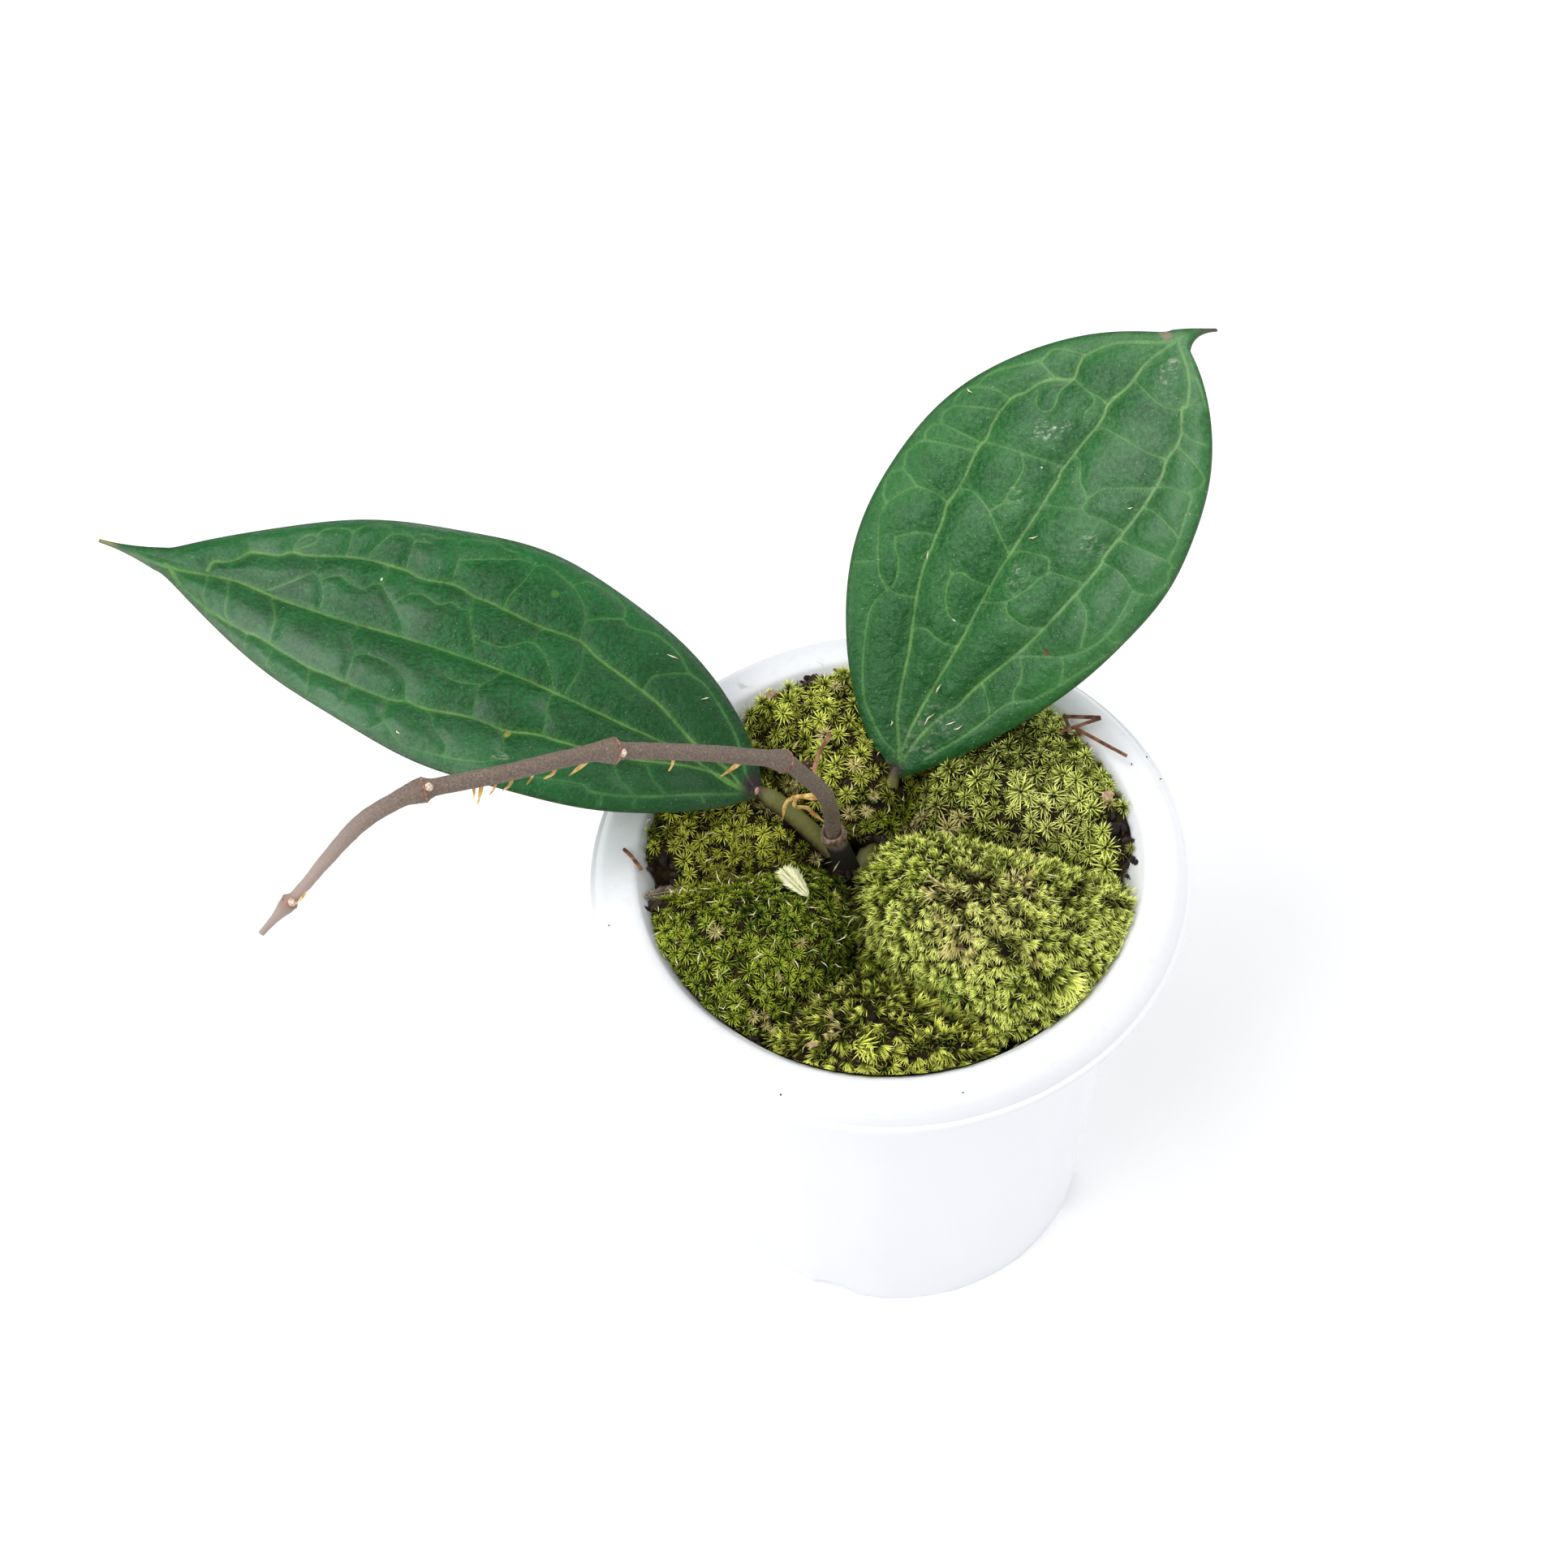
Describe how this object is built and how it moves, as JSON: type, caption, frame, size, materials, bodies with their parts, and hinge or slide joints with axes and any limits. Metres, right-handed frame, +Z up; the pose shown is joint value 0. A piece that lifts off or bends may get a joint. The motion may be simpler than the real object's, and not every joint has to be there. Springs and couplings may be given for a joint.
{
  "type": "potted hoya macrophylla",
  "caption": "Young hoya with broad, deeply veined leaves and a bare arching shoot, rooted in a round plastic pot under cushions of moss.",
  "frame": {"origin": "middle of the pot's foot, on the surface that the pot stands on", "axes": "+Z up out of the pot, +X to the right seen from the front, so the left leaf and the shoot reach out along -X, +Y away to the back"},
  "size_m": [0.233, 0.1473, 0.184],
  "materials": {
    "white_plastic": "satin",
    "growing_mix": "matte",
    "moss": "matte",
    "stem_bark": "matte",
    "leaf_stalk": "satin",
    "leaf_dark": "satin",
    "leaf_pale": "satin"
  },
  "bodies": {
    "root": {"pot": "white_plastic", "growing_mix": "growing_mix", "moss_front_left": "moss", "moss_front_right": "moss", "moss_right": "moss", "moss_back": "moss", "moss_left": "moss", "moss_front": "moss", "vine_stem": "stem_bark", "petiole_left": "leaf_stalk", "petiole_right": "leaf_stalk", "leaf_left": "leaf_dark", "leaf_right": "leaf_pale"}
  },
  "joints": []
}
